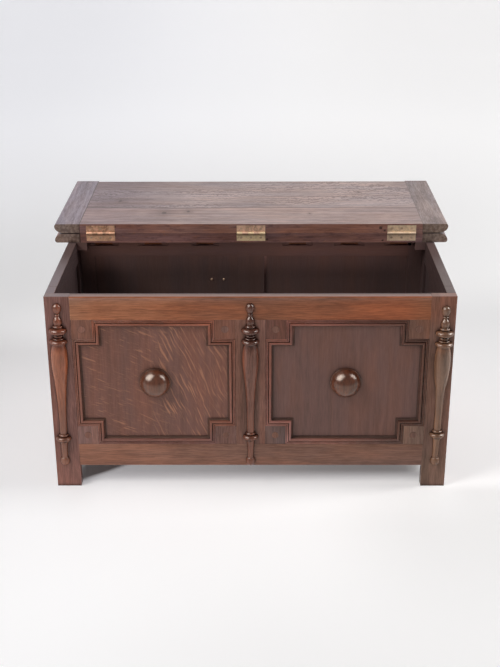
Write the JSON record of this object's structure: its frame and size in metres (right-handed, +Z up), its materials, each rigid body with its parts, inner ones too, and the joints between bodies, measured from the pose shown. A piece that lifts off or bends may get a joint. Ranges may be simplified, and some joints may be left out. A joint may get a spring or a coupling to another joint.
{
  "type": "coffer chest",
  "caption": "Joined oak coffer chest with panelled front, split balusters, turned bosses and a lid whose hinged front leaf folds flat back onto a fixed rear leaf.",
  "frame": {"origin": "on the floor, under the centre of the bounding box with the front leaf folded back", "axes": "+X to the right of someone facing the panelled front, +Y to the back, +Z up"},
  "size_m": [1.05, 0.8504, 0.5674],
  "materials": {
    "frame_oak": "dark stained oak, waxed, satin",
    "panel_oak": "dark stained quarter-sawn oak, waxed, satin",
    "turned_oak": "dark stained oak, polished, glossy",
    "planted_oak": "dark stained oak, waxed, satin",
    "lid_oak": "stained oak, worn wax, matt",
    "inner_oak": "dark unpolished oak, matt",
    "hinge_brass": "aged brass, dull",
    "screw_steel": "dull steel"
  },
  "bodies": {
    "carcase": {"front_stile_left": "frame_oak", "front_stile_right": "frame_oak", "front_muntin": "frame_oak", "front_top_rail": "frame_oak", "front_bottom_rail": "frame_oak", "front_panel_left": "panel_oak", "front_panel_right": "panel_oak", "corner_blocks_left": "planted_oak", "corner_blocks_right": "planted_oak", "panel_moulding_left": "planted_oak", "panel_moulding_right": "planted_oak", "corner_pellets": "planted_oak", "boss_left": "turned_oak", "boss_right": "turned_oak", "baluster_left": "turned_oak", "baluster_centre": "turned_oak", "baluster_right": "turned_oak", "end_stile_front_left": "frame_oak", "end_stile_back_left": "frame_oak", "end_top_rail_left": "frame_oak", "end_bottom_rail_left": "frame_oak", "end_panel_left": "panel_oak", "back_stile_left": "frame_oak", "back_panel_left": "inner_oak", "leaf_batten_left": "inner_oak", "rear_leaf_cleat_left": "lid_oak", "end_stile_front_right": "frame_oak", "end_stile_back_right": "frame_oak", "end_top_rail_right": "frame_oak", "end_bottom_rail_right": "frame_oak", "end_panel_right": "panel_oak", "back_stile_right": "frame_oak", "back_panel_right": "inner_oak", "leaf_batten_right": "inner_oak", "rear_leaf_cleat_right": "lid_oak", "back_muntin": "frame_oak", "back_top_rail": "frame_oak", "back_bottom_rail": "frame_oak", "bottom_boards": "inner_oak", "bottom_bearers": "inner_oak", "rear_leaf_board": "lid_oak", "batten_screws": "screw_steel", "pocket_screws": "screw_steel", "back_panel_screws": "hinge_brass", "hinge_fixed_screws": "hinge_brass", "hinge_fixed_plate_left": "hinge_brass", "hinge_pin_left": "hinge_brass", "hinge_fixed_plate_centre": "hinge_brass", "hinge_pin_centre": "hinge_brass", "hinge_fixed_plate_right": "hinge_brass", "hinge_pin_right": "hinge_brass"},
    "front_leaf": {"front_leaf_cleat_left": "lid_oak", "front_leaf_cleat_right": "lid_oak", "front_leaf_board_narrow": "lid_oak", "front_leaf_board_wide": "lid_oak", "hinge_moving_screws": "hinge_brass", "hinge_moving_plate_left": "hinge_brass", "hinge_moving_plate_centre": "hinge_brass", "hinge_moving_plate_right": "hinge_brass"}
  },
  "joints": [
    {"name": "lid_hinge", "type": "hinge", "parent": "carcase", "child": "front_leaf", "pos_m": [0, -0.00035, 0.5419], "axis": [1, 0, 0], "range_deg": [0, 180]}
  ]
}
